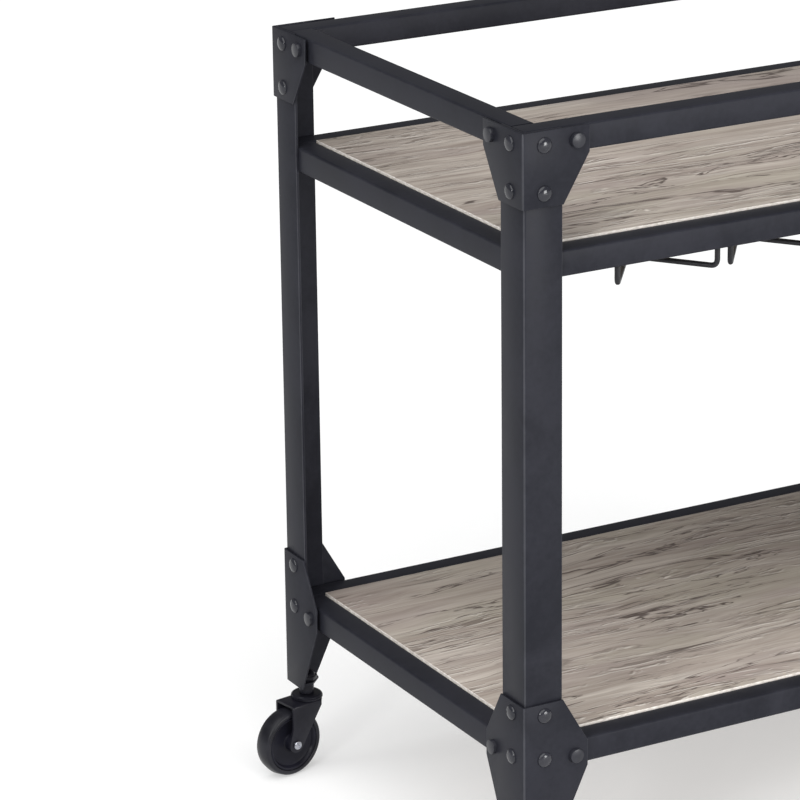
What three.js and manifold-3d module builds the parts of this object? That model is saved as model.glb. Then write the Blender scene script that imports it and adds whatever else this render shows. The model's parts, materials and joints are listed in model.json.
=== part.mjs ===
// Bar cart on casters: four angle-iron posts joined by square-tube rails with riveted corner plates,
// two wooden shelves, bent-wire stemware hangers and four swivel casters.
// Millimetres, +Z up, origin on the floor under the middle of the frame, -Y is the front.
import * as THREE from "three";
import { mergeVertices } from "three/addons/utils/BufferGeometryUtils.js";
import Module from "manifold-3d";

// overall sizes of the frame, over the outer faces of the posts
const cartLength = 838;
const cartDepth = 497;
const cartHeight = 820;

// posts: equal-leg angle
const postFlange = 42;
const postWall = 3;

// rails: square tube with rounded corners
const railSize = 26;
const railWall = 1.6;
const railCorner = 2.4;
const upperShelfDrop = 119; // top of the frame down to the top of the upper shelf rails
const lowerRailClearance = 77; // underside of the leg plates up to the underside of the lower rails

// shelf panels and the ledges that carry them
const panelThickness = 12;
const panelProud = 1.5;
const panelMargin = 0.5;
const ledgeLeg = 12;
const ledgeWall = 2;

// corner plates and leg plates: sheet bent round the outside of each post
const plateSheet = 2;
const plateReach = 28; // past the free edge of the post flange, to where the rail is bolted
const cornerPlateHeight = 73;
const legPlateRise = 48; // above the lower shelf rails
const legFootWidth = 34;
const footSheet = 3;

// fasteners
const rivetDiameter = 15.5;
const rivetHeight = 3.6;
const rivetRim = 0.4; // upright edge under the dome
const rivetEdge = 21; // from the outer corner to the rivet line
const rivetBelowCorner = 13.5; // top of the frame to the upper rivet of a corner plate
const rivetBelowLeg = 12; // top of a leg plate to its upper rivet
const rivetPitch = 46;
const boltHeadDiameter = 14.5;
const boltHeadHeight = 4;
const boltShankDiameter = 6;
const boltFromEnd = 14; // from the end of a plate's wing to the bolt

// stemware hangers: bent round wire
const hangerCount = 5;
const hangerPitch = 127;
const wireDiameter = 5.5;
const mouthWidth = 113; // between wire centres at the front
const channelWidth = 28; // between wire centres along the channel
const funnelDepth = 55;
const hangerDrop = 19; // underside of the rail to the wire's centre
const hangerInset = 11; // outer face of the posts to the wire's upright legs
const wireBend = 7;

// casters
const wheelDiameter = 75;
const wheelWidth = 20.5;
const tyreThickness = 6.6;
const tyreShoulder = 3;
const hubRim = 3; // wall of the hub's rim
const hubRimInset = 1; // from the side of the tyre to the edge of the rim
const hubBossWall = 4.5;
const wheelUnderFork = 4.4;
const forkSheet = 2.6;
const forkWidth = 30.5;
const forkRear = 30; // swivel axis to the rear edge of the fork
const forkFront = 8.5; // swivel axis to the front edge of the side cheeks
const cheekEndRadius = 9;
const cheekShoulder = 4; // height of the upright front edge of a cheek under the top plate
const casterTrail = 26;
const casterInset = 13.5; // outer faces of the post to the swivel axis
const casterSlant = 10; // degrees that the wheels stand away from straight along the cart
const swivelRingDiameter = 35;
const swivelRingHeight = 5;
const swivelRingChamfer = 2;
const collarHeight = 12;
const collarDiameter = 16;
const stemDiameter = 10;
const stemHeadDiameter = 15;
const stemHeadHeight = 3;
const nutFlats = 21;
const nutHeight = 8;
const stemAboveNut = 1.5;
const axleDiameter = 8;
const axleHeadDiameter = 9.5;
const axleHeadHeight = 2.4;

const gap = 0.3; // between pieces that touch

// heights that follow from the sizes above
const forkTopUnderside = wheelDiameter + wheelUnderFork;
const ringBottom = forkTopUnderside + forkSheet + gap;
const ringTop = ringBottom + swivelRingHeight;
const legBottom = ringTop + gap + collarHeight + gap;
const lowerRailTop = legBottom + lowerRailClearance + railSize;
const upperRailTop = cartHeight - upperShelfDrop;
const postBottom = lowerRailTop - railSize;

// offsets from the outer corner of a post, inwards
const railOuterFace = postWall + gap;
const railInnerFace = railOuterFace + railSize;
const railCentre = railOuterFace + railSize / 2;
const plateInnerFace = -gap;
const plateOuterFace = -gap - plateSheet;
const wingEnd = postFlange + plateReach;

const frameSteel = { color: 0x3a3c45, roughness: 0.45, metalness: 0.6 };
const shelfWood = { color: 0x9c9389, roughness: 0.6, metalness: 0 };
const wireSteel = { color: 0x26272b, roughness: 0.4, metalness: 0.6 };
const casterSteel = { color: 0x1f1f27, roughness: 0.4, metalness: 0.2 };
const wheelPlastic = { color: 0x202228, roughness: 0.45, metalness: 0 };
const tyreRubber = { color: 0x26282b, roughness: 0.7, metalness: 0 };
const brightSteel = { color: 0xb9bcc2, roughness: 0.25, metalness: 0.9 };

const wasm = await Module();
wasm.setup();

const cart = new THREE.Group();

function addPiece(parent, name, geometry, finish) {
  const piece = new THREE.Mesh(geometry, new THREE.MeshStandardMaterial(finish));
  piece.name = name;
  parent.add(piece);
  return piece;
}

function solidOf(geometry) {
  const bare = geometry.clone();
  bare.deleteAttribute("normal");
  bare.deleteAttribute("uv");
  const merged = mergeVertices(bare, 1e-4);
  return new wasm.Manifold(new wasm.Mesh({
    numProp: 3,
    vertProperties: new Float32Array(merged.attributes.position.array),
    triVerts: new Uint32Array(merged.index.array),
  }));
}

function geometryOf(solid) {
  const mesh = solid.getMesh();
  const geometry = new THREE.BufferGeometry();
  geometry.setAttribute("position", new THREE.BufferAttribute(new Float32Array(mesh.vertProperties), 3));
  geometry.setIndex(new THREE.BufferAttribute(new Uint32Array(mesh.triVerts), 1));
  return geometry;
}

function joined(geometries) {
  const solids = geometries.map(solidOf);
  return geometryOf(solids.reduce((sum, solid) => sum.add(solid)));
}

function outline(points) {
  return new THREE.Shape(points.map(([x, y]) => new THREE.Vector2(x, y)));
}

function regularOutline(radius, sides) {
  const points = [];
  for (let i = 0; i < sides; i++) {
    const angle = (i / sides) * 2 * Math.PI;
    points.push([radius * Math.cos(angle), radius * Math.sin(angle)]);
  }
  return outline(points);
}

function extruded(shape, depth) {
  return new THREE.ExtrudeGeometry(shape, { depth, bevelEnabled: false, curveSegments: 2 });
}

// a profile of [radius, height] pairs turned about the Z axis
function turned(profile, segments) {
  const points = profile.map(([radius, height]) => new THREE.Vector2(radius, height));
  return new THREE.LatheGeometry(points, segments).rotateX(Math.PI / 2);
}

// corners of the frame, each reached from the front left one by quarter turns
const corners = [
  { name: "front_left", x: -1, y: -1, quarterTurns: 0 },
  { name: "front_right", x: 1, y: -1, quarterTurns: 1 },
  { name: "back_right", x: 1, y: 1, quarterTurns: 2 },
  { name: "back_left", x: -1, y: 1, quarterTurns: 3 },
];

function cornerGroup(corner) {
  const group = new THREE.Group();
  group.position.set((corner.x * cartLength) / 2, (corner.y * cartDepth) / 2, 0);
  group.rotation.z = (corner.quarterTurns * Math.PI) / 2;
  cart.add(group);
  return group;
}

// ---- posts ----

function postGeometry() {
  const section = outline([
    [0, 0], [postFlange, 0], [postFlange, postWall],
    [postWall, postWall], [postWall, postFlange], [0, postFlange],
  ]);
  return extruded(section, cartHeight - postBottom).translate(0, 0, postBottom);
}

// ---- corner plates and leg plates ----

// a plate wing lies on the post's front face: its outline is drawn as [along the wing, height]
function wing(points) {
  return extruded(outline(points), plateSheet).rotateX(Math.PI / 2).translate(0, plateInnerFace, 0);
}

// turns a piece on the front wing into the same piece on the side wing
function onSideWing(geometry) {
  const mirrored = geometry.clone().applyMatrix4(new THREE.Matrix4().set(
    0, 1, 0, 0,
    1, 0, 0, 0,
    0, 0, 1, 0,
    0, 0, 0, 1,
  ));
  return flipped(mirrored);
}

function flipped(geometry) {
  const bare = geometry.index ? geometry.toNonIndexed() : geometry;
  const position = bare.attributes.position;
  const corner = new THREE.Vector3();
  const other = new THREE.Vector3();
  for (let i = 0; i < position.count; i += 3) {
    corner.fromBufferAttribute(position, i + 1);
    other.fromBufferAttribute(position, i + 2);
    position.setXYZ(i + 1, other.x, other.y, other.z);
    position.setXYZ(i + 2, corner.x, corner.y, corner.z);
  }
  return bare;
}

function rivet(along, height) {
  const radius = rivetDiameter / 2;
  const root = -plateSheet / 2;
  const dome = turned([
    [0, root], [radius, root], [radius, rivetRim], [radius * 0.62, rivetHeight * 0.8], [0, rivetHeight],
  ], 8);
  return dome.rotateX(Math.PI / 2).translate(along, plateOuterFace, height);
}

// the shank bridges the space between the plate and the rail behind it
function bolt(along, height) {
  const head = boltHeadDiameter / 2;
  const shank = boltShankDiameter / 2;
  const shankEnd = plateOuterFace - railOuterFace + gap;
  const turnedBolt = turned([
    [0, shankEnd], [shank, shankEnd], [shank, -plateSheet / 2], [head, -plateSheet / 2],
    [head, boltHeadHeight], [0, boltHeadHeight],
  ], 8);
  return turnedBolt.rotateX(Math.PI / 2).translate(along, plateOuterFace, height);
}

function cornerPlateGeometry() {
  const bottom = cartHeight - cornerPlateHeight;
  const face = wing([
    [plateOuterFace, bottom], [postFlange, bottom], [wingEnd, cartHeight - railSize],
    [wingEnd, cartHeight], [plateOuterFace, cartHeight],
  ]);
  const fasteners = [
    rivet(rivetEdge, cartHeight - rivetBelowCorner),
    rivet(rivetEdge, cartHeight - rivetBelowCorner - rivetPitch),
    bolt(wingEnd - boltFromEnd, cartHeight - railSize / 2),
  ];
  const front = [face, ...fasteners];
  return joined([...front, ...front.map(onSideWing)]);
}

function legPlateGeometry() {
  const top = lowerRailTop + legPlateRise;
  const face = wing([
    [plateOuterFace, legBottom], [legFootWidth, legBottom], [wingEnd, postBottom],
    [wingEnd, lowerRailTop + gap], [postFlange, top], [plateOuterFace, top],
  ]);
  const fasteners = [
    rivet(rivetEdge, top - rivetBelowLeg),
    rivet(rivetEdge, top - rivetBelowLeg - rivetPitch),
    bolt(wingEnd - boltFromEnd, lowerRailTop - railSize / 2),
  ];
  const front = [face, ...fasteners];
  return joined([...front, ...front.map(onSideWing), footGeometry()]);
}

// the foot closes the bottom of the bent leg and takes the caster's stem
function footGeometry() {
  const chamfer = (legFootWidth * 2) / 3;
  const foot = outline([
    [plateOuterFace, plateOuterFace], [legFootWidth, plateOuterFace], [legFootWidth, legFootWidth - chamfer],
    [legFootWidth - chamfer, legFootWidth], [plateOuterFace, legFootWidth],
  ]);
  const hole = regularOutline(stemDiameter / 2 + gap, 12);
  foot.holes.push(new THREE.Path(hole.getPoints().map((p) => p.addScalar(casterInset))));
  return extruded(foot, footSheet).translate(0, 0, legBottom);
}

// ---- rails ----

function roundedSquare(size, radius) {
  const half = size / 2;
  const shape = new THREE.Shape();
  shape.moveTo(half, half - radius);
  shape.absarc(half - radius, half - radius, radius, 0, Math.PI / 2);
  shape.absarc(radius - half, half - radius, radius, Math.PI / 2, Math.PI);
  shape.absarc(radius - half, radius - half, radius, Math.PI, 1.5 * Math.PI);
  shape.absarc(half - radius, radius - half, radius, 1.5 * Math.PI, 2 * Math.PI);
  return shape;
}

function railGeometry(length) {
  const section = roundedSquare(railSize, railCorner);
  const inner = railSize / 2 - railWall;
  section.holes.push(new THREE.Path([
    new THREE.Vector2(inner, inner), new THREE.Vector2(-inner, inner),
    new THREE.Vector2(-inner, -inner), new THREE.Vector2(inner, -inner),
  ]));
  return extruded(section, length).translate(0, 0, -length / 2).rotateY(Math.PI / 2);
}

// long rails run from post to post, and short rails butt against them
function addRailRing(level, top) {
  const centreX = cartLength / 2 - railCentre;
  const centreY = cartDepth / 2 - railCentre;
  const longRail = cartLength - 2 * railOuterFace;
  const shortRail = cartDepth - 2 * (railInnerFace + gap);
  for (const [side, y] of [["front", -centreY], ["back", centreY]]) {
    const rail = addPiece(cart, `${level}_rail_${side}`, railGeometry(longRail), frameSteel);
    rail.position.set(0, y, top - railSize / 2);
  }
  for (const [side, x] of [["left", -centreX], ["right", centreX]]) {
    const rail = addPiece(cart, `${level}_rail_${side}`, railGeometry(shortRail), frameSteel);
    rail.position.set(x, 0, top - railSize / 2);
    rail.rotation.z = Math.PI / 2;
  }
}

// ---- shelves ----

function addShelf(level, railTop) {
  const length = cartLength - 2 * (railInnerFace + panelMargin);
  const depth = cartDepth - 2 * (railInnerFace + panelMargin);
  const panelTop = railTop + panelProud;
  const panelGeometry = new THREE.BoxGeometry(length, depth, panelThickness);
  const panel = addPiece(cart, `${level}_panel`, panelGeometry, shelfWood);
  panel.position.z = panelTop - panelThickness / 2;

  // ledge section: a flat top leg under the panel and an upright leg on the rail
  const ledge = outline([
    [0, 0], [ledgeLeg, 0], [ledgeLeg, -ledgeWall], [ledgeWall, -ledgeWall],
    [ledgeWall, -ledgeLeg], [0, -ledgeLeg],
  ]);
  const ledgeTop = panelTop - panelThickness - gap;
  for (const [side, turn] of [["front", 0], ["back", Math.PI]]) {
    const geometry = extruded(ledge, length).rotateX(Math.PI / 2).rotateZ(Math.PI / 2);
    geometry.translate(-length / 2, railInnerFace + gap - cartDepth / 2, 0);
    const piece = addPiece(cart, `${level}_ledge_${side}`, geometry, frameSteel);
    piece.position.z = ledgeTop;
    piece.rotation.z = turn;
  }
}

// ---- stemware hangers ----

// straight runs through the given corners, with a rounded bend at each inner one
class BentWire extends THREE.Curve {
  constructor(wireCorners, bendRadius, stepsPerBend) {
    super();
    this.stations = [wireCorners[0]];
    for (let i = 1; i < wireCorners.length - 1; i++) {
      const before = wireCorners[i - 1].clone().sub(wireCorners[i]);
      const after = wireCorners[i + 1].clone().sub(wireCorners[i]);
      const setback = bendRadius / Math.tan(before.angleTo(after) / 2);
      const start = wireCorners[i].clone().addScaledVector(before.normalize(), setback);
      const end = wireCorners[i].clone().addScaledVector(after.normalize(), setback);
      const bend = new THREE.QuadraticBezierCurve3(start, wireCorners[i], end);
      this.stations.push(...bend.getPoints(stepsPerBend));
    }
    this.stations.push(wireCorners[wireCorners.length - 1]);
  }

  getPointAt(u) {
    return this.stations[Math.round(u * (this.stations.length - 1))].clone();
  }

  getTangentAt(u) {
    const here = Math.round(u * (this.stations.length - 1));
    const last = this.stations[Math.max(here - 1, 0)];
    const next = this.stations[Math.min(here + 1, this.stations.length - 1)];
    const incoming = this.stations[here].clone().sub(last).normalize();
    const outgoing = next.clone().sub(this.stations[here]).normalize();
    return incoming.add(outgoing).normalize();
  }
}

// from the front rail down one leg, back through the funnel and channel, up and across under the back
// rail, and the same way forward again
function hangerCorners(centreX) {
  const under = upperRailTop - railSize - gap;
  const low = under + gap - hangerDrop;
  const front = hangerInset - cartDepth / 2;
  const back = cartDepth / 2 - railCentre;
  const half = [
    [-mouthWidth / 2, front, under],
    [-mouthWidth / 2, front, low],
    [-channelWidth / 2, front + funnelDepth, low],
    [-channelWidth / 2, back, low],
    [-channelWidth / 2, back, under - wireDiameter / 2],
  ];
  const otherHalf = half.map(([x, y, z]) => [-x, y, z]).reverse();
  return [...half, ...otherHalf].map(([x, y, z]) => new THREE.Vector3(centreX + x, y, z));
}

function addHangers() {
  const section = regularOutline(wireDiameter / 2, 6);
  for (let i = 0; i < hangerCount; i++) {
    const centreX = (i - (hangerCount - 1) / 2) * hangerPitch;
    const wire = new BentWire(hangerCorners(centreX), wireBend, 2);
    const geometry = new THREE.ExtrudeGeometry(section, {
      steps: wire.stations.length - 1,
      extrudePath: wire,
      bevelEnabled: false,
    });
    addPiece(cart, `stemware_hanger_${i + 1}`, geometry, wireSteel);
  }
}

// ---- casters ----

// stem: riveted head under the fork, collar under the foot, and a nut above it, in one line
function stemGeometry() {
  const stem = stemDiameter / 2;
  const headTop = forkTopUnderside - gap;
  const collarBottom = ringTop + gap;
  const footTop = legBottom + footSheet;
  const stemTop = footTop + gap + nutHeight + stemAboveNut;
  const shaft = turned([
    [0, headTop - stemHeadHeight], [stemHeadDiameter / 2, headTop - stemHeadHeight],
    [stemHeadDiameter / 2, headTop], [stem, headTop], [stem, collarBottom],
    [collarDiameter / 2, collarBottom], [collarDiameter / 2, legBottom - gap], [stem, legBottom - gap],
    [stem, stemTop], [0, stemTop],
  ], 10);
  const nut = extruded(regularOutline(nutFlats / Math.sqrt(3), 6), nutHeight);
  nut.translate(0, 0, footTop + gap);
  return joined([shaft, nut]);
}

function swivelRingGeometry() {
  const outer = swivelRingDiameter / 2;
  const bore = stemDiameter / 2 + gap;
  return turned([
    [bore, ringBottom], [outer, ringBottom], [outer, ringTop - swivelRingChamfer],
    [outer - swivelRingChamfer, ringTop], [bore, ringTop], [bore, ringBottom],
  ], 16);
}

// fork: a top plate with a round front end and two cheeks that narrow down to the axle
function forkGeometry() {
  const half = forkWidth / 2;
  const top = new THREE.Shape();
  top.moveTo(0, -half);
  top.lineTo(forkRear, -half);
  top.lineTo(forkRear, half);
  top.lineTo(0, half);
  top.absarc(0, 0, half, Math.PI / 2, 1.5 * Math.PI);
  const bore = regularOutline(stemDiameter / 2 + gap, 12);
  top.holes.push(new THREE.Path(bore.getPoints()));
  const topPlate = new THREE.ExtrudeGeometry(top, { depth: forkSheet, bevelEnabled: false, curveSegments: 6 });
  topPlate.translate(0, 0, forkTopUnderside);

  const axleHeight = wheelDiameter / 2;
  const cheek = new THREE.Shape();
  cheek.moveTo(-forkFront, forkTopUnderside + forkSheet);
  cheek.lineTo(-forkFront, forkTopUnderside - cheekShoulder);
  cheek.absarc(casterTrail, axleHeight, cheekEndRadius, 1.2 * Math.PI, 2 * Math.PI);
  cheek.lineTo(forkRear, axleHeight + 2 * cheekEndRadius);
  cheek.lineTo(forkRear, forkTopUnderside + forkSheet);
  const axleHole = regularOutline(axleDiameter / 2 + gap, 10);
  cheek.holes.push(new THREE.Path(
    axleHole.getPoints().map((p) => p.add(new THREE.Vector2(casterTrail, axleHeight))),
  ));
  const cheekSolid = new THREE.ExtrudeGeometry(cheek, { depth: forkSheet, bevelEnabled: false, curveSegments: 5 });
  cheekSolid.rotateX(Math.PI / 2);
  const near = cheekSolid.clone().translate(0, -half + forkSheet, 0);
  const far = cheekSolid.clone().translate(0, half, 0);
  return joined([topPlate, near, far]);
}

// wheel parts are turned about the axle, which lies along Y
function turnedOnAxle(profile, segments) {
  const points = profile.map(([radius, along]) => new THREE.Vector2(radius, along));
  return new THREE.LatheGeometry(points, segments).translate(casterTrail, 0, wheelDiameter / 2);
}

function hubGeometry() {
  const bore = axleDiameter / 2 + gap;
  const rim = wheelDiameter / 2 - tyreThickness - gap;
  const boss = forkWidth / 2 - forkSheet - gap;
  const rimInside = rim - hubRim;
  const rimHalf = wheelWidth / 2 - hubRimInset;
  const webHalf = wheelWidth / 4;
  const bossRadius = axleDiameter / 2 + hubBossWall;
  return turnedOnAxle([
    [bore, -boss], [bossRadius, -boss], [bossRadius, -webHalf], [rimInside, -webHalf],
    [rimInside, -rimHalf], [rim, -rimHalf], [rim, rimHalf], [rimInside, rimHalf],
    [rimInside, webHalf], [bossRadius, webHalf],
    [bossRadius, boss], [bore, boss], [bore, -boss],
  ], 16);
}

function tyreGeometry() {
  const tread = wheelDiameter / 2;
  const inner = tread - tyreThickness;
  const half = wheelWidth / 2;
  return turnedOnAxle([
    [inner, -half], [tread - tyreShoulder, -half], [tread, -half + tyreShoulder],
    [tread, half - tyreShoulder], [tread - tyreShoulder, half], [inner, half], [inner, -half],
  ], 28);
}

function axleGeometry() {
  const shaft = axleDiameter / 2;
  const head = axleHeadDiameter / 2;
  const seat = forkWidth / 2 + gap;
  return turnedOnAxle([
    [0, -seat - axleHeadHeight], [head, -seat - axleHeadHeight], [head, -seat], [shaft, -seat],
    [shaft, seat], [head, seat], [head, seat + axleHeadHeight], [0, seat + axleHeadHeight],
  ], 10);
}

function addCaster(corner) {
  const group = new THREE.Group();
  const axisX = corner.x * (cartLength / 2 - casterInset);
  const axisY = corner.y * (cartDepth / 2 - casterInset);
  const slant = THREE.MathUtils.degToRad(casterSlant);
  group.position.set(axisX, axisY, 0);
  group.rotation.z = Math.atan2(-corner.y * Math.sin(slant), corner.x * Math.cos(slant));
  cart.add(group);
  addPiece(group, `caster_stem_${corner.name}`, stemGeometry(), casterSteel);
  addPiece(group, `swivel_ring_${corner.name}`, swivelRingGeometry(), casterSteel);
  addPiece(group, `caster_fork_${corner.name}`, forkGeometry(), casterSteel);
  addPiece(group, `wheel_hub_${corner.name}`, hubGeometry(), wheelPlastic);
  addPiece(group, `wheel_tyre_${corner.name}`, tyreGeometry(), tyreRubber);
  addPiece(group, `wheel_axle_${corner.name}`, axleGeometry(), brightSteel);
}

// ---- the whole cart ----

for (const corner of corners) {
  const group = cornerGroup(corner);
  addPiece(group, `post_${corner.name}`, postGeometry(), frameSteel);
  addPiece(group, `corner_plate_${corner.name}`, cornerPlateGeometry(), frameSteel);
  addPiece(group, `leg_plate_${corner.name}`, legPlateGeometry(), frameSteel);
  addCaster(corner);
}
addRailRing("top", cartHeight);
addRailRing("upper_shelf", upperRailTop);
addRailRing("lower_shelf", lowerRailTop);
addShelf("upper_shelf", upperRailTop);
addShelf("lower_shelf", lowerRailTop);
addHangers();

export default cart;
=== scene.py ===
import json
import math
import bmesh
import bpy
from mathutils import Matrix, Vector


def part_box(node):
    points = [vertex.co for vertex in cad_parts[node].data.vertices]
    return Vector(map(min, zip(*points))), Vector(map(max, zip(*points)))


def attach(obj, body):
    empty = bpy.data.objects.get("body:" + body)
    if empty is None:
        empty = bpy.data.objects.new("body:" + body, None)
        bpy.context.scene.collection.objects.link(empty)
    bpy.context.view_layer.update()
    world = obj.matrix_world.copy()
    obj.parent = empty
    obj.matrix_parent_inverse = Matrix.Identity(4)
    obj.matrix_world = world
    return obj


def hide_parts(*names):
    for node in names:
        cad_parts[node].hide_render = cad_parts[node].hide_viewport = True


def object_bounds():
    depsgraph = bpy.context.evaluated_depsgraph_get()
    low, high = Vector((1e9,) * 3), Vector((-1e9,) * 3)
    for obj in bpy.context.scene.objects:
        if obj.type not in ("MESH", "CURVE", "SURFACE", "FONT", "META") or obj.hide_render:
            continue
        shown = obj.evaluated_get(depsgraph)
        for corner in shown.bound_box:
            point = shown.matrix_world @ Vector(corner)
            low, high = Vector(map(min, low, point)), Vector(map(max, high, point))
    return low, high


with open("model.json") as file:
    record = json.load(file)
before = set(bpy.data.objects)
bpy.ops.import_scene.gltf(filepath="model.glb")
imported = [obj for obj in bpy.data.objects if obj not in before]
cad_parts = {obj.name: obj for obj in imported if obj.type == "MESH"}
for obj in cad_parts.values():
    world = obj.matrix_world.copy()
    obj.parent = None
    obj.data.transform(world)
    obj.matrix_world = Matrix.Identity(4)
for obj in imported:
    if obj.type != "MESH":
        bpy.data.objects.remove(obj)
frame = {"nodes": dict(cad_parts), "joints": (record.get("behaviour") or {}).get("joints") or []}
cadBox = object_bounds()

mm = 0.001
cornerNames = {"front_left": (-1, -1), "front_right": (1, -1), "back_right": (1, 1), "back_left": (-1, 1)}
jointPlace = {joint["name"]: Vector(joint["pos_m"]) for joint in frame["joints"]}


# ---- camera and light ----

view = {
    "place": (-2.1859, -3.2349, 1.7480),
    "azimuth": -28.70,
    "elevation": 18.84,
    "roll": -0.75,
    "lens": 176.6,
}

studio = {
    "overhead": {"azimuth": -40, "elevation": 58, "angle": 80, "strength": 3.35},
    "frontBox": {"azimuth": 18, "elevation": 4, "distance": 4.5, "size": 1.3, "power": 88},
    "leftBox": {"azimuth": -60, "elevation": 16, "distance": 3.2, "size": 0.4, "power": 20},
    "sky": 0.20,
    "floorColour": (0.60, 0.603, 0.603),
    "floorGlow": 0.40,
}


def makeCamera(settings):
    data = bpy.data.cameras.new("camera")
    data.lens = settings["lens"]
    data.sensor_width = 36
    camera = bpy.data.objects.new("camera", data)
    bpy.context.scene.collection.objects.link(camera)
    turn = Matrix.Rotation(math.radians(settings["azimuth"]), 4, "Z")
    tilt = Matrix.Rotation(math.radians(90 - settings["elevation"]), 4, "X")
    roll = Matrix.Rotation(math.radians(settings["roll"]), 4, "Z")
    camera.matrix_world = Matrix.Translation(settings["place"]) @ turn @ tilt @ roll
    bpy.context.scene.camera = camera


def lightAt(name, kind, lamp, target):
    data = bpy.data.lights.new(name, kind)
    light = bpy.data.objects.new(name, data)
    bpy.context.scene.collection.objects.link(light)
    azimuth, elevation = math.radians(lamp["azimuth"]), math.radians(lamp["elevation"])
    away = Vector((math.sin(azimuth) * math.cos(elevation), -math.cos(azimuth) * math.cos(elevation),
                   math.sin(elevation)))
    light.location = target + away * lamp.get("distance", 4)
    light.rotation_euler = away.to_track_quat("Z", "Y").to_euler()
    return data


def makeStudio(settings):
    middle = (cadBox[0] + cadBox[1]) / 2
    overhead = lightAt("overhead", "SUN", settings["overhead"], middle)
    overhead.angle = math.radians(settings["overhead"]["angle"])
    overhead.energy = settings["overhead"]["strength"]
    for name in ("frontBox", "leftBox"):
        softbox = lightAt(name, "AREA", settings[name], middle)
        softbox.size = settings[name]["size"]
        softbox.energy = settings[name]["power"]
    world = bpy.data.worlds.new("studio")
    world.use_nodes = True
    world.node_tree.nodes["Background"].inputs["Color"].default_value = (1, 1, 1, 1)
    world.node_tree.nodes["Background"].inputs["Strength"].default_value = settings["sky"]
    bpy.context.scene.world = world
    bpy.context.scene.view_settings.view_transform = "Standard"


# ---- shader maths ----

class Link:  # wraps one socket, so that an expression on values adds its Math nodes
    def __init__(self, tree, socket):
        self.tree = tree
        self.socket = socket

    def node(self, kind, settings, inputs, out=0):
        made = self.tree.nodes.new(kind)
        for key, value in settings.items():
            if key == "stops":
                self.setStops(made.color_ramp, value)
            else:
                setattr(made, key, value)
        for key, value in inputs.items():
            if isinstance(value, Link):
                self.tree.links.new(value.socket, made.inputs[key])
            else:
                made.inputs[key].default_value = value
        return Link(self.tree, made.outputs[out])

    def setStops(self, ramp, stops):
        while len(ramp.elements) < len(stops):
            ramp.elements.new(0.5)
        for element, (position, colour) in zip(ramp.elements, stops):
            element.position = position
            element.color = (*colour, 1)

    def maths(self, operation, first, second):
        return self.node("ShaderNodeMath", {"operation": operation}, {0: first, 1: second})

    def __add__(self, other):
        return self.maths("ADD", self, other)

    def __radd__(self, other):
        return self.maths("ADD", other, self)

    def __sub__(self, other):
        return self.maths("SUBTRACT", self, other)

    def __rsub__(self, other):
        return self.maths("SUBTRACT", other, self)

    def __mul__(self, other):
        return self.maths("MULTIPLY", self, other)

    def __rmul__(self, other):
        return self.maths("MULTIPLY", other, self)

    def __pow__(self, other):
        return self.maths("POWER", self, other)

    # patterns on this link as the place
    def mapped(self, scale, shift=(0, 0, 0), turn=(0, 0, 0)):
        return self.node("ShaderNodeMapping", {}, {"Vector": self, "Scale": scale, "Location": shift,
                                                   "Rotation": turn})

    def noise(self, scale, detail=4.0, roughness=0.55, distortion=0.0):
        return self.node("ShaderNodeTexNoise", {}, {"Vector": self, "Scale": scale, "Detail": detail,
                                                    "Roughness": roughness, "Distortion": distortion})

    # this value spread between two limits, from 0 to 1
    def between(self, low, high):
        return self.node("ShaderNodeMapRange", {"interpolation_type": "SMOOTHSTEP"},
                         {"Value": self, "From Min": low, "From Max": high})

    # this value as the share of the second colour
    def mixed(self, first, second):
        first = first if isinstance(first, Link) else (*first, 1)
        second = second if isinstance(second, Link) else (*second, 1)
        return self.node("ShaderNodeMix", {"data_type": "RGBA"}, {0: self, 6: first, 7: second}, out=2)

    def bump(self, strength, distance):
        return self.node("ShaderNodeBump", {}, {"Height": self, "Strength": strength, "Distance": distance})

    def into(self, shader, name):
        self.tree.links.new(self.socket, shader.inputs[name])


def newMaterial(name, fixed):
    material = bpy.data.materials.new(name)
    material.use_nodes = True
    tree = material.node_tree
    shader = tree.nodes["Principled BSDF"]
    for key, value in fixed.items():
        shader.inputs[key].default_value = value
    place = Link(tree, tree.nodes.new("ShaderNodeTexCoord").outputs["Object"])
    return material, shader, place


# ---- materials ----

coatLook = {"dark": (0.0150, 0.0155, 0.0205), "light": (0.0235, 0.0240, 0.0310), "gloss": 0.07, "rough": 0.40}


def powderCoat(name, look):
    material, shader, place = newMaterial(name, {"Specular IOR Level": look["gloss"]})
    cloud = place.noise(11, 5, 0.6, 0.6)
    speck = place.noise(160, 3, 0.6)
    shade = (cloud * 0.75 + speck * 0.25).between(0.34, 0.66)
    shade.mixed(look["dark"], look["light"]).into(shader, "Base Color")
    (look["rough"] - 0.06 + shade * 0.12).into(shader, "Roughness")
    peel = place.noise(1100, 2, 0.5)
    peel.bump(0.10, 0.0003).into(shader, "Normal")
    return material


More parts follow.
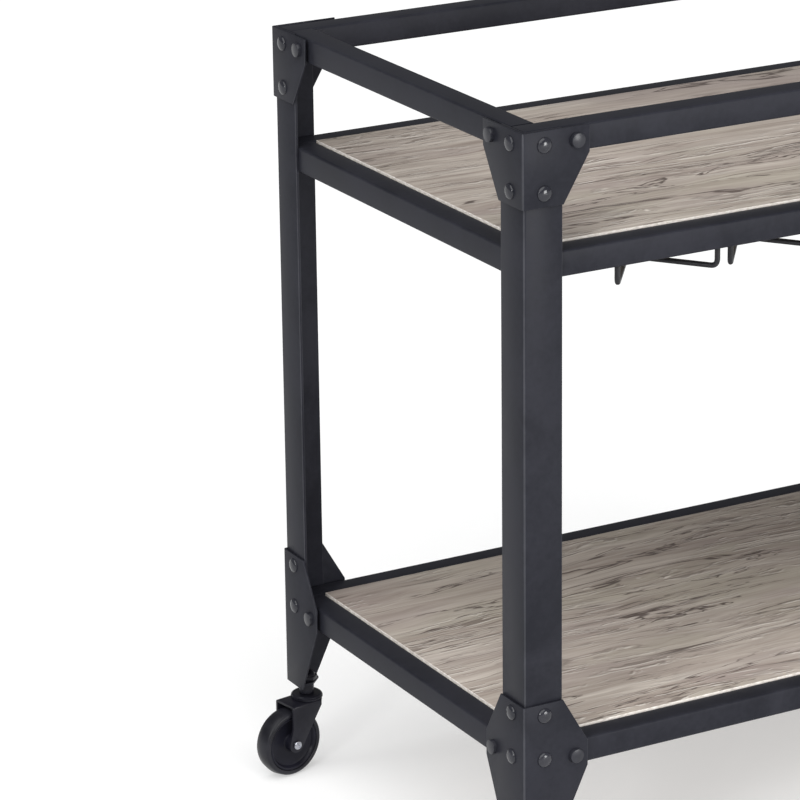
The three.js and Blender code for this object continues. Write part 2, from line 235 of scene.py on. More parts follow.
def driftwood(name, seed):
    material, shader, place = newMaterial(name, {"Specular IOR Level": 0.25})
    shift = (seed * 3.1, seed * 1.7, 0)
    warp = place.mapped((1.5, 6.0, 6.0), (seed, seed * 0.7, 0)).noise(1.5, 4, 0.55)
    bend = place.node("ShaderNodeCombineXYZ", {}, {"Y": (warp - 0.5) * 0.07})
    grain = place.node("ShaderNodeVectorMath", {"operation": "ADD"}, {0: place, 1: bend})
    streak = grain.mapped((3.4, 85, 85), shift).noise(1.0, 6, 0.66, 0.3)
    fibre = grain.mapped((16, 300, 300), shift).noise(1.0, 2, 0.5)
    band = grain.mapped((1.5, 24, 24), (seed * 1.3, 2.2, 0)).noise(1.0, 4, 0.6, 0.6)
    patch = place.mapped((2.2, 6.5, 6.5), shift).noise(1.4, 3, 0.5, 0.4)
    green = place.mapped((2.9, 8.0, 8.0), (seed * 2, 4.4, 0)).noise(1.3, 3, 0.5)
    mixture = streak * 0.55 + band * 0.45
    tone = mixture.node("ShaderNodeValToRGB", {"stops": [
        (0.34, (0.245, 0.200, 0.170)), (0.44, (0.382, 0.328, 0.286)), (0.53, (0.462, 0.408, 0.358)),
        (0.66, (0.610, 0.555, 0.495))]}, {"Fac": mixture})
    tone = (patch.between(0.46, 0.64) * 0.5).mixed(tone, (0.310, 0.252, 0.238))
    tone = (green.between(0.50, 0.66) * 0.4).mixed(tone, (0.440, 0.410, 0.325))
    tone = (0.2 - fibre.between(0.36, 0.62) * 0.2).mixed(tone, (0.155, 0.126, 0.108))

    # short strokes standing up from the grain, each with painted shade along one side and a painted highlight along the
    # other
    wearAndStrokeShadingPatch = place.mapped((3.0, 10, 10), (seed * 6, 2, 0)).noise(1.2, 3, 0.55).between(0.42, 0.58)
    stroke = grain.mapped((21, 170, 170), shift).noise(1.0, 3, 0.6, 0.5)
    pale = grain.mapped((21, 170, 170), (shift[0], shift[1] + 0.30, 0)).noise(1.0, 3, 0.6, 0.5)
    dentShade = stroke.between(0.54, 0.61) * wearAndStrokeShadingPatch
    raisedHighlight = pale.between(0.54, 0.62) * wearAndStrokeShadingPatch * (1 - dentShade)
    # painted shade on one side of each stroke, painted highlight on the other side
    tone = (dentShade * 0.60).mixed(tone, (0.135, 0.106, 0.090))
    tone = (raisedHighlight * 0.60).mixed(tone, (0.780, 0.735, 0.680))

    # long cracks that wander along the grain
    line = grain.mapped((1.5, 15, 15), (seed * 5, 1.1, 0)).noise(1.0, 5, 0.62, 1.0)
    keep = place.mapped((2.2, 6, 6), (seed, 9.0, 0)).noise(1.3, 2, 0.5).between(0.42, 0.54)
    crack = (1 - (line - 0.5).maths("ABSOLUTE", line - 0.5, 0).between(0.002, 0.011)) * keep
    across = grain.node("ShaderNodeSeparateXYZ", {}, {"Vector": grain}, out=1)
    phase = across * 19 + band * 2.4
    split = (1 - phase.maths("PINGPONG", phase, 0.5).between(0.004, 0.026)) * place.mapped(
        (1.7, 6.5, 6.5), (seed * 1.9, 5, 0)).noise(1.3, 3, 0.5).between(0.44, 0.54)
    check = grain.mapped((2.4, 33, 33), (seed * 2.3, 6.1, 0)).noise(1.0, 4, 0.6, 0.8)
    check = (1 - (check - 0.5).maths("ABSOLUTE", check - 0.5, 0).between(0.002, 0.016)) * wearAndStrokeShadingPatch
    tone = (check * 0.5).mixed(tone, (0.120, 0.094, 0.082))
    tone = (split * 0.75).mixed(tone, (0.090, 0.067, 0.058))
    tone = (crack * 0.85).mixed(tone, (0.070, 0.050, 0.044))

    # small knots, their rings pulled out of round by the warp
    offGrain = place.node("ShaderNodeVectorMath", {"operation": "ADD"},
                          {0: grain, 1: place.node("ShaderNodeCombineXYZ", {}, {"X": (band - 0.5) * 0.05})})
    ring = offGrain.mapped((3.4, 8.2, 8.2), (seed * 4.2, seed, 0)).node(
        "ShaderNodeTexVoronoi", {"feature": "F1"},
        {"Vector": offGrain.mapped((3.4, 8.2, 8.2), (seed * 4.2, seed, 0)), "Scale": 0.7})
    knot = 1 - ring.between(0.03, 0.12)
    swirl = (ring * 130 + streak * 7).maths("SINE", ring * 130 + streak * 7, 0).between(-0.4, 0.8)
    tone = (knot * (0.35 + swirl * 0.5)).mixed(tone, (0.070, 0.050, 0.043))
    tone.into(shader, "Base Color")
    (0.50 + fibre * 0.20).into(shader, "Roughness")
    height = streak * 0.5 + fibre * 0.3 - crack * 0.9 - split * 0.7 - dentShade * 0.6 + raisedHighlight * 0.5 - knot * swirl * 0.4
    height.bump(0.55, 0.0008).into(shader, "Normal")
    return material


def paleEdge(name):
    material, shader, place = newMaterial(name, {"Specular IOR Level": 0.2})
    grain = place.mapped((160, 160, 900)).noise(1.0, 4, 0.6)
    grain.between(0.3, 0.7).mixed((0.55, 0.50, 0.45), (0.88, 0.84, 0.79)).into(shader, "Base Color")
    (0.55 + grain * 0.2).into(shader, "Roughness")
    return material


def moulded(name, dark, light, rough, gloss, grainScale):
    material, shader, place = newMaterial(name, {"Specular IOR Level": gloss})
    cloud = place.noise(30, 4, 0.6)
    grain = place.noise(grainScale, 3, 0.6)
    cloud.between(0.35, 0.65).mixed(dark, light).into(shader, "Base Color")
    (rough - 0.08 + grain * 0.16).into(shader, "Roughness")
    grain.bump(0.12, 0.0003).into(shader, "Normal")
    return material


def zincPlate(name):
    material, shader, place = newMaterial(name, {"Metallic": 1.0})
    lines = place.mapped((300, 300, 2600)).noise(1.0, 3, 0.6)
    lines.between(0.3, 0.7).mixed((0.28, 0.29, 0.33), (0.50, 0.51, 0.55)).into(shader, "Base Color")
    (0.16 + lines * 0.18).into(shader, "Roughness")
    lines.bump(0.08, 0.0002).into(shader, "Normal")
    return material


def paleFloor(name, colour, glow):  # lit a little from below, like a light table
    material, shader, place = newMaterial(name, {"Specular IOR Level": 0.1, "Roughness": 0.9,
                                                 "Emission Color": (1, 1, 1, 1), "Emission Strength": glow})
    place.noise(2, 2, 0.5).mixed(colour, tuple(0.985 * value for value in colour)).into(shader, "Base Color")
    return material


# ---- mesh helpers ----

def rounded(bm, edges, radius, segments=2):
    bmesh.ops.bevel(bm, geom=list(edges), offset=radius, offset_type="OFFSET", segments=segments, profile=0.5,
                    affect="EDGES", material=-1, clamp_overlap=True)


def sharpEdges(bm, angle=50):
    limit = math.radians(angle)
    return [edge for edge in bm.edges if len(edge.link_faces) == 2 and edge.calc_face_angle(0) > limit]


def faceFrom(bm, points):
    return bm.faces.new([bm.verts.new(point) for point in points])


def pushed(bm, face, offset):  # turns a flat face into a closed slab
    made = bmesh.ops.extrude_face_region(bm, geom=[face])
    moved = [item for item in made["geom"] if isinstance(item, bmesh.types.BMVert)]
    bmesh.ops.translate(bm, verts=moved, vec=offset)
    bm.faces.ensure_lookup_table()


def turnedShape(profile, steps, axis=(0, 0, 1), centre=(0, 0, 0)):
    bm = bmesh.new()
    points = [bm.verts.new(point) for point in profile]
    edges = [bm.edges.new(pair) for pair in zip(points, points[1:])]
    bmesh.ops.spin(bm, geom=points + edges, axis=axis, cent=centre, angle=2 * math.pi, steps=steps,
                   use_merge=True)
    bmesh.ops.remove_doubles(bm, verts=bm.verts, dist=0.5e-6)
    return bm


def blockIn(low, high):
    bm = bmesh.new()
    bmesh.ops.create_cube(bm, size=1)
    bmesh.ops.scale(bm, vec=high - low, verts=bm.verts)
    bmesh.ops.translate(bm, vec=(low + high) / 2, verts=bm.verts)
    return bm


def arc(centre, radius, start, end, steps):  # points [along, up] on an arc, in degrees
    angles = [math.radians(start + (end - start) * i / steps) for i in range(steps + 1)]
    return [(centre[0] + radius * math.cos(a), centre[1] + radius * math.sin(a)) for a in angles]


def addTo(bm, other, matrix):
    other.transform(matrix)
    mesh = bpy.data.meshes.new("part")
    other.to_mesh(mesh)
    other.free()
    bm.from_mesh(mesh)
    bpy.data.meshes.remove(mesh)


def finished(name, bm, material, body, replaced=(), smooth=32):
    bmesh.ops.remove_doubles(bm, verts=bm.verts, dist=0.5e-6)
    bmesh.ops.recalc_face_normals(bm, faces=bm.faces)
    mesh = bpy.data.meshes.new(name)
    bm.to_mesh(mesh)
    bm.free()
    mesh.materials.append(material)
    mesh.polygons.foreach_set("use_smooth", [True] * len(mesh.polygons))
    mesh.set_sharp_from_angle(angle=math.radians(smooth))
    piece = bpy.data.objects.new(name, mesh)
    bpy.context.scene.collection.objects.link(piece)
    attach(piece, body)
    if replaced:
        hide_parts(*replaced)
    return piece


# ---- frame: posts, rails, plates and their fasteners ----

postLook = {"wall": 3 * mm, "fold": 2.6 * mm, "insideFold": 1.6 * mm, "edge": 0.6 * mm}
railLook = {"corner": 2.6 * mm, "wall": 1.6 * mm, "hollow": 14 * mm}
plateLook = {"sheet": 2 * mm, "off": 0.3 * mm, "fold": 2.4 * mm, "edge": 0.38 * mm, "footWidth": 34 * mm, "footInset": 6 * mm,
             "footSheet": 3 * mm}
rivetLook = {"radius": 7.75 * mm, "height": 3.6 * mm, "rim": 0.5 * mm, "fromCorner": 21 * mm,
             "belowCorner": 13.5 * mm, "belowLeg": 12 * mm, "pitch": 46 * mm}
boltLook = {"radius": 7.25 * mm, "height": 4 * mm, "chamfer": 0.7 * mm, "fromEnd": 14 * mm}

topLow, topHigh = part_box("top_rail_front")
lowerLow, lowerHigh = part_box("lower_shelf_rail_front")
postLow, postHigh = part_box("post_front_left")
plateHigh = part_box("corner_plate_front_left")[1]
legLow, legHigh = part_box("leg_plate_front_left")
flange = postHigh.x - postLow.x
wingEnd = plateHigh.x - postLow.x
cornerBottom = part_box("corner_plate_front_left")[0].z
frameTop = postHigh.z
halfSize = Vector((-postLow.x, -postLow.y, 0))


def atCorner(corner):  # from a corner's own axes, with +X and +Y pointing into the frame
    signX, signY = cornerNames[corner]
    flip = Matrix.Diagonal((-signX, -signY, 1, 1))
    return Matrix.Translation((signX * halfSize.x, signY * halfSize.y, 0)) @ flip


def makePost(corner, material, foldHighlightMaterial):
    bm = bmesh.new()
    wall = postLook["wall"]
    section = [(0, 0), (flange, 0), (flange, wall), (wall, wall), (wall, flange), (0, flange)]
    face = faceFrom(bm, [(x, y, postLow.z) for x, y in section])
    pushed(bm, face, (0, 0, postHigh.z - postLow.z))
    upright = [e for e in bm.edges if abs(e.verts[0].co.z - e.verts[1].co.z) > 0.1]
    outside = [e for e in upright if e.verts[0].co.xy.length < 0.1 * mm]
    inside = [e for e in upright if (e.verts[0].co.xy - Vector((wall, wall))).length < 0.1 * mm]
    rounded(bm, outside, postLook["fold"], 4)
    rounded(bm, [e for e in inside if e.is_valid], postLook["insideFold"], 3)
    rounded(bm, sharpEdges(bm), postLook["edge"], 2)
    bm.transform(atCorner(corner))
    post = finished(f"post_{corner}_angle", bm, material, "frame", [f"post_{corner}"])
    paintFoldHighlight(post, foldHighlightMaterial)


def makeRail(node, material):
    low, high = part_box(node)
    bm = blockIn(low, high)
    along = 0 if high.x - low.x > high.y - low.y else 1
    ends = [face for face in bm.faces if abs(face.normal[along]) > 0.9]
    long = [e for e in bm.edges if abs((e.verts[0].co - e.verts[1].co)[along]) > 0.1]
    bmesh.ops.inset_individual(bm, faces=ends, thickness=railLook["wall"], depth=0)
    for face in ends:
        inwards = -face.normal * railLook["hollow"]
        made = bmesh.ops.extrude_discrete_faces(bm, faces=[face])
        bmesh.ops.translate(bm, verts=made["faces"][0].verts, vec=inwards)
    rounded(bm, long, railLook["corner"], 4)
    finished(f"{node}_tube", bm, material, "frame", [node])


def paintFoldHighlight(piece, material):  # the bend faces out between the two wings get a lighter, glossier paint: a painted highlight along the fold
    piece.data.materials.append(material)
    for polygon in piece.data.polygons:
        if abs(polygon.normal.x) > 0.3 and abs(polygon.normal.y) > 0.3 and abs(polygon.normal.z) < 0.3:
            polygon.material_index = 1


def bentSheet(outline):  # the same outline on both wings, bent round the post's outer corner
    bm = bmesh.new()
    outer = -plateLook["off"] - plateLook["sheet"]
    fold = [bm.verts.new((outer, outer, outline[0][1])), bm.verts.new((outer, outer, outline[-1][1]))]
    front = [bm.verts.new((along, outer, up)) for along, up in outline[1:-1]]
    side = [bm.verts.new((outer, along, up)) for along, up in outline[1:-1]]
    bm.faces.new([fold[0], *front, fold[1]])
    bm.faces.new([fold[1], *reversed(side), fold[0]])
    bmesh.ops.recalc_face_normals(bm, faces=bm.faces)
    middle = [e for e in bm.edges if len(e.link_faces) == 2]
    rounded(bm, middle, plateLook["fold"], 5)
    bmesh.ops.solidify(bm, geom=bm.faces[:], thickness=plateLook["sheet"])
    return bm


def sheetInside(bm):  # the wall's second face has to lie towards the post
    low = min(vert.co.y for vert in bm.verts)
    outer = -plateLook["off"] - plateLook["sheet"]
    return low > outer - 0.2 * mm


def makeBentPlate(name, outline, corner, material, foldHighlightMaterial, node):
    bm = bentSheet(outline)
    if not sheetInside(bm):
        raise ValueError("the sheet has its thickness on the wrong side")
    rounded(bm, sharpEdges(bm, 60), plateLook["edge"], 2)
    bm.transform(atCorner(corner))
    paintFoldHighlight(finished(name, bm, material, "frame", [node]), foldHighlightMaterial)


def cornerPlateOutline():
    return [(0, cornerBottom), (flange, cornerBottom), (wingEnd, topLow.z), (wingEnd, frameTop),
            (0, frameTop)]


def legPlateOutline():
    foot = plateLook["footWidth"]
    return [(0, legLow.z), (foot, legLow.z), (wingEnd, lowerLow.z), (wingEnd, lowerHigh.z), (flange, legHigh.z), (0, legHigh.z)]


def makeFoot(corner, material):
    bm = bmesh.new()
    edge = -plateLook["off"] + 0.05 * mm
    width = plateLook["footWidth"] - plateLook["footInset"]
    cut = width / 2
    points = [(edge, edge), (width, edge), (width, cut), (cut, width), (edge, width)]
    face = faceFrom(bm, [(x, y, legLow.z + 0.2 * mm) for x, y in points])
    pushed(bm, face, (0, 0, plateLook["footSheet"]))
    rounded(bm, sharpEdges(bm), 0.5 * mm, 2)
    bm.transform(atCorner(corner))
    finished(f"leg_foot_{corner}", bm, material, "frame")


def rivetShape():
    radius, height, rim = rivetLook["radius"], rivetLook["height"], rivetLook["rim"]
    crown = [(radius * math.cos(math.radians(a)), 0, rim + (height - rim) * math.sin(math.radians(a)))
             for a in range(0, 91, 15)]
    crown[-1] = (0, 0, height)
    return turnedShape([(0, 0, -0.5 * mm), (radius, 0, -0.5 * mm), *crown], 32)


def boltShape():
    radius, height, cut = boltLook["radius"], boltLook["height"], boltLook["chamfer"]
    return turnedShape([(0, 0, -0.5 * mm), (radius, 0, -0.5 * mm), (radius, 0, height - cut),
                        (radius - 0.3 * cut, 0, height - 0.3 * cut), (radius - cut, 0, height),
                        (0, 0, height + 0.25 * mm)], 36)


def onWing(wing, along, up):  # stands a fastener on the front or side wing
    outer = -plateLook["off"] - plateLook["sheet"]
    if wing == "front":
        return Matrix.Translation((along, outer, up)) @ Matrix.Rotation(math.radians(90), 4, "X")
    return Matrix.Translation((outer, along, up)) @ Matrix.Rotation(math.radians(-90), 4, "Y")


def makeFasteners(name, corner, heights, boltHeight, rivetMaterial, boltMaterial):
    rivets, bolts = bmesh.new(), bmesh.new()
    for wing in ("front", "side"):
        for up in heights:
            addTo(rivets, rivetShape(), onWing(wing, rivetLook["fromCorner"], up))
        addTo(bolts, boltShape(), onWing(wing, wingEnd - boltLook["fromEnd"], boltHeight))
    rivets.transform(atCorner(corner))
    bolts.transform(atCorner(corner))
    finished(f"{name}_rivets_{corner}", rivets, rivetMaterial, "frame")
    finished(f"{name}_bolts_{corner}", bolts, boltMaterial, "frame")


def makeFrame(materials):
    pitch = rivetLook["pitch"]
    for corner in cornerNames:
        makePost(corner, materials["coat"], materials["fold"])
        makeBentPlate(f"corner_plate_{corner}_sheet", cornerPlateOutline(), corner, materials["coat"],
                      materials["fold"], f"corner_plate_{corner}")
        upper = frameTop - rivetLook["belowCorner"]
        makeFasteners("corner", corner, (upper, upper - pitch), (topLow.z + topHigh.z) / 2,
                      materials["rivet"], materials["bolt"])
        makeBentPlate(f"leg_plate_{corner}_sheet", legPlateOutline(), corner, materials["coat"],
                      materials["fold"], f"leg_plate_{corner}")
        makeFoot(corner, materials["coat"])
        upper = legHigh.z - rivetLook["belowLeg"]
        makeFasteners("leg", corner, (upper, upper - pitch), (lowerLow.z + lowerHigh.z) / 2,
                      materials["rivet"], materials["bolt"])
    for level in ("top", "upper_shelf", "lower_shelf"):
        for side in ("front", "back", "left", "right"):
            makeRail(f"{level}_rail_{side}", materials["coat"])


# ---- shelves ----

panelLook = {"edge": 0.7 * mm}


def makePanel(node, wood, edge):
    low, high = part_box(node)
    bm = blockIn(low, high)
    rounded(bm, bm.edges[:], panelLook["edge"], 2)
    piece = finished(f"{node}_board", bm, wood, "frame", [node])
    piece.data.materials.append(edge)
    for polygon in piece.data.polygons:
        if abs(polygon.normal.z) < 0.95:
            polygon.material_index = 1


# ---- stemware hangers ----

hangerLook = {"wire": 5.5 * mm, "bend": 7 * mm, "funnel": 55 * mm, "channel": 28 * mm}


def bentPath(corners, radius, steps):
    path = [corners[0]]
    for before, here, after in zip(corners, corners[1:], corners[2:]):
        back, ahead = (before - here).normalized(), (after - here).normalized()
        setback = radius / math.tan(back.angle(ahead) / 2)
        start, end = here + back * setback, here + ahead * setback
        for i in range(steps + 1):
            t = i / steps
            path.append(start * (1 - t) ** 2 + here * (2 * t * (1 - t)) + end * t ** 2)
    return [*path, corners[-1]]


def makeHanger(node, material):
    low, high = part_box(node)
    half = hangerLook["wire"] / 2
    left, front, back = low.x + half, low.y + half, high.y - half
    middle, top, bottom = (low.x + high.x) / 2, high.z, low.z + half
    inner = middle - hangerLook["channel"] / 2
    side = [Vector((left, front, top)), Vector((left, front, bottom)),
            Vector((inner, front + hangerLook["funnel"], bottom)), Vector((inner, back, bottom)),
            Vector((inner, back, top - half))]
    other = [Vector((2 * middle - point.x, point.y, point.z)) for point in reversed(side)]
    data = bpy.data.curves.new(node, "CURVE")
    data.dimensions = "3D"
    data.bevel_depth = half
    data.bevel_resolution = 4
    data.use_fill_caps = True
    spline = data.splines.new("POLY")
    path = bentPath([*side, *other], hangerLook["bend"], 7)
    spline.points.add(len(path) - 1)
    for point, place in zip(spline.points, path):
        point.co = (*place, 1)
    wire = bpy.data.objects.new(f"{node}_curve", data)
    bpy.context.scene.collection.objects.link(wire)
    mesh = bpy.data.meshes.new_from_object(wire.evaluated_get(bpy.context.evaluated_depsgraph_get()))
    bm = bmesh.new()
    bm.from_mesh(mesh)
    bpy.data.objects.remove(wire)
    finished(f"{node}_wire", bm, material, "frame", [node], 50)


# ---- casters ----

forkLook = {"width": 30.5 * mm, "sheet": 2.6 * mm, "fold": 3 * mm, "rear": 30 * mm, "front": 8.5 * mm,
            "nose": 15.25 * mm, "shoulder": 4 * mm, "end": 9 * mm}
wheelLook = {"width": 20.5 * mm, "tyre": 6.6 * mm, "crown": 1.2 * mm, "shoulder": 3.2 * mm, "rim": 3 * mm,
             "rimInset": 1 * mm, "boss": 8.5 * mm}
axleLook = {"radius": 4 * mm, "head": 4.75 * mm, "headHeight": 2.4 * mm, "slot": 1.9 * mm, "slotDepth": 1.5 * mm}
stemLook = {"radius": 5 * mm, "collar": 8 * mm, "headRadius": 7.5 * mm, "headHeight": 3 * mm,
            "nutFlats": 21 * mm, "nutHeight": 8 * mm, "above": 1.5 * mm}


def casterPlace(corner):  # the caster's own axes: +X from the swivel towards the wheel
    swivel, wheel = jointPlace[f"swivel_{corner}"], jointPlace[f"roll_{corner}"]
    trail = Vector((wheel.x - swivel.x, wheel.y - swivel.y))
    turn = Matrix.Rotation(math.atan2(trail.y, trail.x), 4, "Z")
    return Matrix.Translation((swivel.x, swivel.y, 0)) @ turn, trail.length, wheel.z


def makeFork(corner, material):
    place, trail, axleUp = casterPlace(corner)
    low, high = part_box(f"caster_fork_{corner}")
    half, top, end = forkLook["width"] / 2, high.z, forkLook["end"]
    front, rear = -forkLook["front"], forkLook["rear"]
    bow = (half ** 2 + (forkLook["nose"] + front) ** 2) / (2 * (forkLook["nose"] + front))
    swing = math.degrees(math.asin(half / bow))
    nose = arc((bow - forkLook["nose"], 0), bow, 180 + swing, 180 - swing, 10)
    cheek = [(front, top), (front, top - forkLook["sheet"] - forkLook["shoulder"]),
             *arc((trail, axleUp), end, 216, 360, 12), (rear, axleUp + 2 * end), (rear, top)]
    bm = bmesh.new()
    rows = {}
    for side in (-half, half):
        rows[side] = [bm.verts.new((along, side, up)) for along, up in cheek]
        bm.faces.new(rows[side])
    inner = [bm.verts.new((x, y, top)) for x, y in reversed(nose[1:-1])]
    bm.faces.new([rows[-half][-1], rows[half][-1], rows[half][0], *inner, rows[-half][0]])
    bmesh.ops.recalc_face_normals(bm, faces=bm.faces)
    folds = [e for e in bm.edges if len(e.link_faces) == 2]
    rounded(bm, folds, forkLook["fold"], 4)
    bmesh.ops.solidify(bm, geom=bm.faces[:], thickness=forkLook["sheet"])
    rounded(bm, sharpEdges(bm, 60), 0.4 * mm, 2)
    bm.transform(place)
    finished(f"fork_{corner}", bm, material, f"caster_{corner}", [f"caster_fork_{corner}"])


def makeSwivelRing(corner, material):
    place = casterPlace(corner)[0]
    low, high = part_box(f"swivel_ring_{corner}")
    outer, tall, bore = (high.x - low.x) / 2, high.z - low.z, stemLook["radius"] + 0.3 * mm
    race = tall * 0.5
    profile = [(bore, 0, 0), (outer - 0.8 * mm, 0, 0), (outer, 0, 0.7 * mm), (outer, 0, race - 0.4 * mm),
               (outer - 1.1 * mm, 0, race), (outer - 0.5 * mm, 0, race + 0.4 * mm),
               (outer - 0.6 * mm, 0, tall - 1.3 * mm), (outer - 2.2 * mm, 0, tall - 0.1 * mm),
               (outer - 4 * mm, 0, tall), (bore, 0, tall), (bore, 0, 0)]
    bm = turnedShape(profile, 56)
    bm.transform(place @ Matrix.Translation((0, 0, low.z)))
    finished(f"swivel_race_{corner}", bm, material, f"caster_{corner}",
             [f"swivel_ring_{corner}"])


def makeStem(corner, material):
    place = casterPlace(corner)[0]
    low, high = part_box(f"caster_stem_{corner}")
    head, shaft, collar = stemLook["headRadius"], stemLook["radius"], stemLook["collar"]
    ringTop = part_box(f"swivel_ring_{corner}")[1].z + 0.3 * mm
    footLow = legLow.z - 0.3 * mm
    footHigh = legLow.z + plateLook["footSheet"] + 0.3 * mm
    nutTop = footHigh + stemLook["nutHeight"]
    profile = [(0, 0, low.z), (head - 1 * mm, 0, low.z), (head, 0, low.z + 1 * mm),
               (head, 0, low.z + stemLook["headHeight"]), (shaft, 0, low.z + stemLook["headHeight"]),
               (shaft, 0, ringTop), (collar - 0.6 * mm, 0, ringTop), (collar, 0, ringTop + 0.6 * mm),
               (collar, 0, footLow - 0.6 * mm), (collar - 0.6 * mm, 0, footLow), (shaft, 0, footLow),
               (shaft, 0, nutTop - 1 * mm), (0, 0, nutTop - 1 * mm)]
    bm = turnedShape(profile, 32)
    corners = stemLook["nutFlats"] / math.sqrt(3)
    nut = bmesh.new()
    bmesh.ops.create_circle(nut, cap_ends=True, segments=6, radius=corners)
    pushed(nut, nut.faces[:][0], (0, 0, stemLook["nutHeight"] * 0.6))
    rounded(nut, sharpEdges(nut), 0.9 * mm, 3)
    addTo(bm, nut, Matrix.Translation((0, 0, footHigh)))
    crownLow, crownHigh = footHigh + stemLook["nutHeight"] * 0.55, high.z
    dome = [(corners * 0.80 * math.cos(math.radians(a)), 0,
             crownLow + (crownHigh - crownLow) * math.sin(math.radians(a))) for a in range(0, 91, 15)]
    dome[-1] = (0, 0, crownHigh)
    addTo(bm, turnedShape([(0, 0, crownLow), *dome], 28), Matrix.Identity(4))
    bm.transform(place)
    finished(f"stem_{corner}", bm, material, "frame", [f"caster_stem_{corner}"])


def wheelTurned(profile, steps, trail, axleUp):  # [radius, along the axle] pairs turned about the axle
    points = [(trail, along, axleUp + radius) for radius, along in profile]
    return turnedShape(points, steps, (0, 1, 0), (trail, 0, axleUp))


def makeWheel(corner, rubber, plastic):
    place, trail, axleUp = casterPlace(corner)
    tread, half, curve = axleUp, wheelLook["width"] / 2, wheelLook["shoulder"]
    inner = tread - wheelLook["tyre"]
    crown = wheelLook["crown"]
    near = arc((half - curve, tread - crown - curve), curve, 0, 68, 5)
    shoulder = [(up, along) for along, up in near]
    profile = [(inner, half - 0.6 * mm), (inner + 0.6 * mm, half), *shoulder, (tread, 0),
               *[(up, -along) for up, along in reversed(shoulder)], (inner + 0.6 * mm, -half),
               (inner, -half + 0.6 * mm), (inner, half - 0.6 * mm)]
    bm = wheelTurned(profile, 72, trail, axleUp)
    bm.transform(place)
    finished(f"tyre_{corner}", bm, rubber, f"wheel_{corner}", [f"wheel_tyre_{corner}"], 28)

    bore, boss = axleLook["radius"] + 0.3 * mm, wheelLook["boss"]
    bossHalf = forkLook["width"] / 2 - forkLook["sheet"] - 0.3 * mm
    rim, rimHalf = inner - 0.3 * mm, half - wheelLook["rimInset"]
    dish = rim - wheelLook["rim"]
    web = half * 0.52
    face = [(bore, bossHalf), (boss - 0.6 * mm, bossHalf), (boss, bossHalf - 0.6 * mm), (boss + 0.8 * mm, web + 1 * mm),
            (boss + 2.2 * mm, web), (dish - 5 * mm, web), (dish - 1.5 * mm, web + 0.9 * mm), (dish, rimHalf - 0.5 * mm),
            (dish + 0.5 * mm, rimHalf), (rim - 0.4 * mm, rimHalf), (rim, rimHalf - 0.4 * mm)]
    hub = wheelTurned([*face, *[(r, -a) for r, a in reversed(face)], face[0]], 56, trail, axleUp)
    hub.transform(place)
    finished(f"hub_{corner}", hub, plastic, f"wheel_{corner}", [f"wheel_hub_{corner}"])


def makeAxle(corner, material):
    place, trail, axleUp = casterPlace(corner)
    seat = forkLook["width"] / 2 + 0.3 * mm
    head, tall, shaft = axleLook["head"], axleLook["headHeight"], axleLook["radius"]
    whole = bmesh.new()
    rod = turnedShape([(0, 0, -seat), (shaft, 0, -seat), (shaft, 0, seat), (0, 0, seat)], 28)
    addTo(whole, rod, Matrix.Identity(4))
    for side in (0, 180):
        cap = bmesh.new()
        bmesh.ops.create_circle(cap, cap_ends=True, segments=36, radius=head)
        pushed(cap, cap.faces[:][0], (0, 0, tall))
        rounded(cap, [e for e in sharpEdges(cap) if e.verts[0].co.z > tall / 2], 0.7 * mm, 3)
        for offset in (-axleLook["slot"] / 2, axleLook["slot"] / 2):
            flat = [f for f in cap.faces if f.normal.z > 0.99]
            around = list({v for f in flat for v in f.verts}) + list({e for f in flat for e in f.edges}) + flat
            bmesh.ops.bisect_plane(cap, geom=around, plane_co=(offset, 0, 0), plane_no=(1, 0, 0))
        strip = [f for f in cap.faces if f.normal.z > 0.99 and abs(f.calc_center_median().x) < axleLook["slot"] / 4]
        made = bmesh.ops.extrude_discrete_faces(cap, faces=strip)
        bmesh.ops.translate(cap, verts=list({v for f in made["faces"] for v in f.verts}),
                            vec=(0, 0, -axleLook["slotDepth"]))
        lift = Matrix.Rotation(math.radians(side), 4, "X") @ Matrix.Translation((0, 0, seat))
        addTo(whole, cap, lift @ Matrix.Rotation(math.radians(40), 4, "Z"))
    lay = Matrix.Translation((trail, 0, axleUp)) @ Matrix.Rotation(math.radians(90), 4, "X")
    whole.transform(place @ lay)
    finished(f"axle_{corner}", whole, material, f"caster_{corner}", [f"wheel_axle_{corner}"])


def makeCasters(materials):
    for corner in cornerNames:
        makeStem(corner, materials["caster"])
        makeSwivelRing(corner, materials["caster"])
        makeFork(corner, materials["caster"])
        makeWheel(corner, materials["tyre"], materials["wheel"])
        makeAxle(corner, materials["zinc"])


# ---- the whole cart ----

makeCamera(view)
makeStudio(studio)
print("camera and light ready")

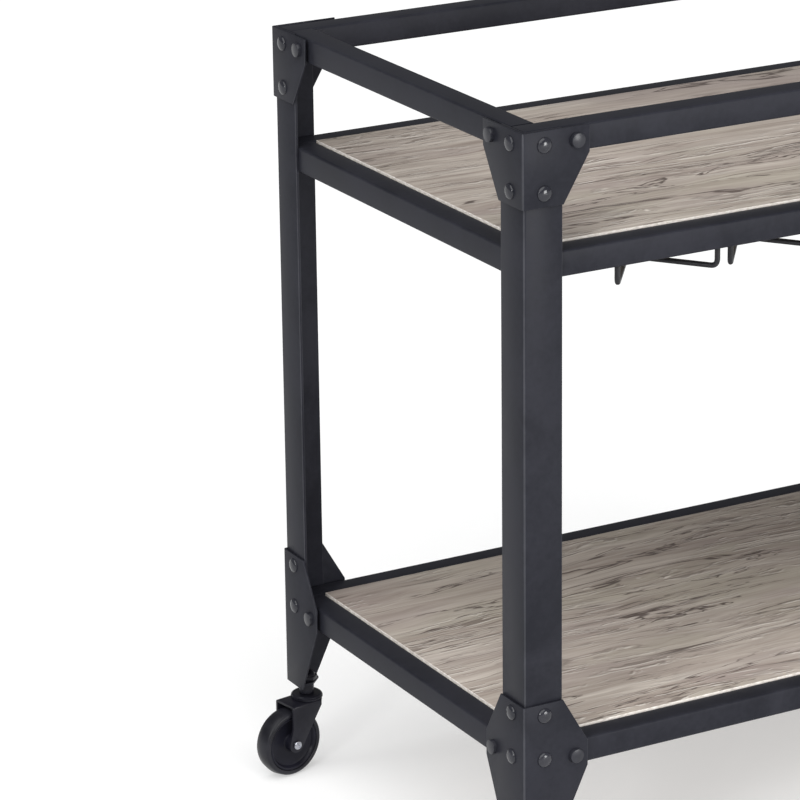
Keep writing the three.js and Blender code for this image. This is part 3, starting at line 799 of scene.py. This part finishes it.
materials = {
    "coat": powderCoat("frame powder coat", coatLook),
    "rivet": powderCoat("rivet paint", {**coatLook, "gloss": 0.38, "rough": 0.17}),
    # the fold paint is lighter than the coat: a painted highlight along the bends of posts and plates
    "fold": powderCoat("fold painted highlight", {"dark": (0.030, 0.031, 0.037), "light": (0.046, 0.047, 0.056),
                                      "gloss": 0.2, "rough": 0.34}),
    "bolt": powderCoat("bolt paint", {**coatLook, "gloss": 0.3, "rough": 0.32}),
    "wire": powderCoat("hanger paint", {"dark": (0.008, 0.008, 0.010), "light": (0.018, 0.018, 0.021),
                                        "gloss": 0.25, "rough": 0.34}),
    "caster": powderCoat("caster black", {"dark": (0.008, 0.008, 0.012), "light": (0.014, 0.014, 0.020),
                                          "gloss": 0.18, "rough": 0.36}),
    "upperWood": driftwood("upper shelf driftwood", 1.0),
    "lowerWood": driftwood("lower shelf driftwood", 3.7),
    "woodEdge": paleEdge("board cut edge"),
    "wheel": moulded("wheel plastic", (0.006, 0.006, 0.010), (0.012, 0.012, 0.019), 0.34, 0.12, 900),
    "tyre": moulded("tyre rubber", (0.008, 0.008, 0.011), (0.017, 0.017, 0.022), 0.36, 0.20, 1300),
    "zinc": zincPlate("bright zinc"),
}
print("materials ready")

makeFrame(materials)
for level in ("upper", "lower"):
    makePanel(f"{level}_shelf_panel", materials[f"{level}Wood"], materials["woodEdge"])
    for side in ("front", "back"):
        ledge = frame["nodes"][f"{level}_shelf_ledge_{side}"]
        ledge.data.materials.clear()
        ledge.data.materials.append(materials["coat"])
print("frame and shelves ready")

for i in range(5):
    makeHanger(f"stemware_hanger_{i + 1}", materials["wire"])
makeCasters(materials)
print("hangers and casters ready")

floorMesh = bmesh.new()
bmesh.ops.create_grid(floorMesh, x_segments=1, y_segments=1, size=60)
floorData = bpy.data.meshes.new("floor")
floorMesh.to_mesh(floorData)
floorMesh.free()
floorData.materials.append(paleFloor("floor paint", studio["floorColour"], studio["floorGlow"]))
floor = bpy.data.objects.new("floor", floorData)
bpy.context.scene.collection.objects.link(floor)

print("cart finished")
